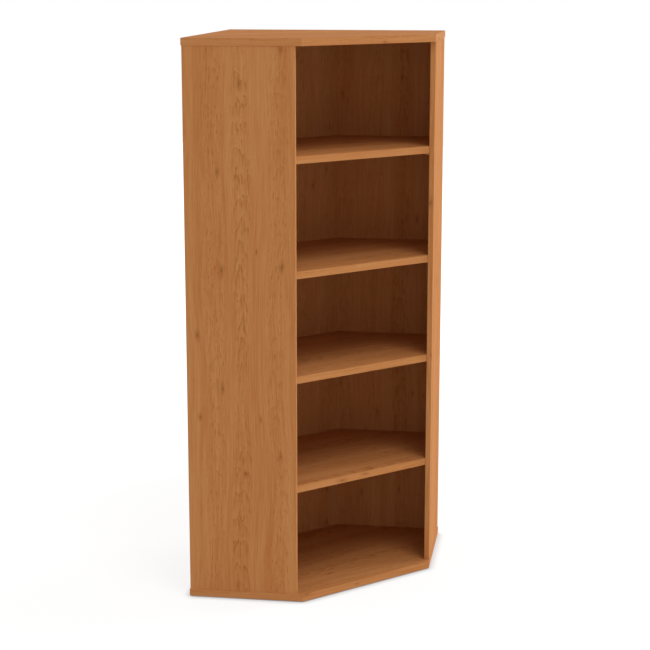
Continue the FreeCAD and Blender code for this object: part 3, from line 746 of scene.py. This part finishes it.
def addRing(tree, inner, outer, low, high, rounding, size):
    # a ring round Z with rounded edges, between two radii and two levels
    width = addNode(tree, "ShaderNodeMath", {0: outer, 1: inner}, operation="SUBTRACT")
    height = addNode(tree, "ShaderNodeMath", {0: high, 1: low}, operation="SUBTRACT")
    radius = addNode(tree, "ShaderNodeMath", {0: width, 1: 0.5, 2: inner}, operation="MULTIPLY_ADD")
    level = addNode(tree, "ShaderNodeMath", {0: height, 1: 0.5, 2: low}, operation="MULTIPLY_ADD")
    section = addNode(tree, "GeometryNodeCurvePrimitiveQuadrilateral", {"Width": width, "Height": height})
    section = addNode(tree, "GeometryNodeFilletCurve", {
        "Curve": section, "Radius": rounding, "Count": size["roundSteps"], "Limit Radius": True},
        mode="POLY")
    path = addNode(tree, "GeometryNodeCurvePrimitiveCircle", {"Resolution": size["sides"], "Radius": radius})
    path = addNode(tree, "GeometryNodeSetCurveNormal", {"Curve": path}, mode="Z_UP")
    ring = addNode(tree, "GeometryNodeCurveToMesh", {"Curve": path, "Profile Curve": section})
    return addNode(tree, "GeometryNodeTransform", {
        "Geometry": ring, "Translation": addNode(tree, "ShaderNodeCombineXYZ", {"Z": level})})


def makeGlideTree(sizes, material):
    tree, entry = startTree("floorGlide", sizes)
    size = entry.outputs
    rim = addRing(tree, size["recessRadius"], size["radius"], 0.0, size["height"], size["rimRound"], size)
    # The web under the nail's head reaches a little into the rim, so that the two are one body
    reach = addNode(tree, "ShaderNodeMath", {0: size["recessRadius"], 1: size["rimRound"]}, operation="ADD")
    web = addRing(tree, size["nailRadius"], reach, size["recessDepth"], size["height"], size["webRound"],
                  size)
    part = addNode(tree, "GeometryNodeJoinGeometry", {"Geometry": [rim, web]})
    endTree(tree, entry, part, material, pivot="Z")
    return tree


glideMiddles = [(points.min(axis=0) + points.max(axis=0)) / 2 for points in solidsOf("floor_glides")]
makeHardware("floorGlides", makeGlideTree(floorGlides, finishes["polyethyleneMoulded"]), floorGlides,
             [(middle[0], middle[1], 0.0) for middle in glideMiddles], [(1, 0, 0)] * len(glideMiddles),
             "floor_glides")
print("hardware made")


# The floor's seen white carries a painted contact shadow within contactReach, in mm, of what stands on it,
# and turns plain white between plainFrom and plainAt, in metres from the middle. Lamps' places are in metres
# too.
stage = {"floorSize": 30.0, "floorTone": "#F4F4F4", "seenWhite": 0.80, "seenShade": 0.26,
         "contactReach": 30, "contactWhite": 0.2, "contactSamples": 8, "plainFrom": 1.2, "plainAt": 3.0}
light = {
    "domeStrength": 0.64,
    "lamps": {
        "rightSoftbox": {"place": (14.6, 9.0, 5.6), "size": 8.0, "power": 1460},
        "overheadSoftbox": {"place": (8.3, -9.7, 21.0), "size": 11.2, "power": 1190},
    },
}
# The camera's place, lens and sensor are in mm, its turn and tilt in degrees, and what it sees ends at
# farthest, in metres
view = {"place": (889.4, -5832.5, 2140.3), "leftTurn": 8.510, "downTilt": 11.903, "lens": 93.421,
        "sensor": 36, "farthest": 100}


def seenDirectly(tree):
    # 1 for what the camera sees, also through or in gloss and glass
    path = addNode(tree, "ShaderNodeLightPath")
    seen = addNode(tree, "ShaderNodeMath", {
        0: path.outputs["Is Camera Ray"], 1: path.outputs["Is Glossy Ray"]}, operation="MAXIMUM")
    return addNode(tree, "ShaderNodeMath", {
        0: seen, 1: path.outputs["Is Transmission Ray"]}, operation="MAXIMUM")


def makeFloor():
    half = stage["floorSize"] / 2
    corners = [(-half, -half, 0), (half, -half, 0), (half, half, 0), (-half, half, 0)]
    mesh = bpy.data.meshes.new("studioFloor")
    mesh.from_pydata(corners, [], [(0, 1, 2, 3)])
    floor = bpy.data.objects.new("studioFloor", mesh)
    scene.collection.objects.link(floor)
    material, tree = startMaterial("studioFloorWhite")
    seen = seenDirectly(tree)
    lit = addNode(tree, "ShaderNodeBsdfDiffuse", {"Color": fromHex(stage["floorTone"])})
    shade = addNode(tree, "ShaderNodeBsdfDiffuse", {"Color": [stage["seenShade"]] * 3 + [1.0]})
    # painted contact shadow: ambient occlusion dims the floor's seen white near what stands on it;
    # contactWhite is the share left at full contact
    near = addNode(tree, "ShaderNodeAmbientOcclusion", {"Distance": stage["contactReach"] * mm},
                   samples=stage["contactSamples"])
    place = addNode(tree, "ShaderNodeNewGeometry")
    distance = addNode(tree, "ShaderNodeVectorMath", {0: place.outputs["Position"]}, operation="LENGTH")
    whiteHere = addNode(tree, "ShaderNodeMapRange", {
        "Value": distance.outputs["Value"], "From Min": stage["plainFrom"], "From Max": stage["plainAt"],
        "To Min": stage["seenWhite"], "To Max": 1.0})
    paintedContactShadow = addNode(tree, "ShaderNodeMapRange", {
        "Value": near.outputs["AO"], "To Min": stage["contactWhite"]})
    strength = addNode(tree, "ShaderNodeMath", {0: whiteHere, 1: paintedContactShadow}, operation="MULTIPLY")
    white = addNode(tree, "ShaderNodeEmission", {"Strength": strength})
    shown = addNode(tree, "ShaderNodeAddShader", {0: shade, 1: white})
    mixed = addNode(tree, "ShaderNodeMixShader", {0: seen, 1: lit, 2: shown})
    addNode(tree, "ShaderNodeOutputMaterial", {"Surface": mixed})
    mesh.materials.append(material)


def makeDome():
    world = bpy.data.worlds.new("studioWhite")
    world.use_nodes = True
    scene.world = world
    tree = world.node_tree
    tree.nodes.clear()
    seen = seenDirectly(tree)
    strength = addNode(tree, "ShaderNodeMix", {0: seen, 2: light["domeStrength"], 3: 1.0})
    dome = addNode(tree, "ShaderNodeBackground", {"Color": (1, 1, 1, 1), "Strength": strength})
    addNode(tree, "ShaderNodeOutputWorld", {"Surface": dome})


def makeLamp(name, values):
    lamp = bpy.data.lights.new(name, "AREA")
    lamp.shape = "DISK"
    lamp.size = values["size"]
    lamp.energy = values["power"]
    holder = bpy.data.objects.new(name, lamp)
    scene.collection.objects.link(holder)
    target = (cadBox[0] + cadBox[1]) / 2
    holder.location = values["place"]
    holder.rotation_euler = (target - holder.location).to_track_quat("-Z", "Y").to_euler()


def makeCamera():
    camera = bpy.data.objects.new("camera", bpy.data.cameras.new("camera"))
    scene.collection.objects.link(camera)
    camera.data.lens = view["lens"]
    camera.data.sensor_width = view["sensor"]
    camera.data.clip_end = view["farthest"]
    camera.location = Vector(view["place"]) * mm
    camera.rotation_euler = (math.radians(90 - view["downTilt"]), 0, math.radians(view["leftTurn"]))
    scene.camera = camera


makeFloor()
makeDome()
for name, values in light["lamps"].items():
    makeLamp(name, values)
makeCamera()
scene.view_settings.view_transform = "Standard"
print("stage, light and camera set")
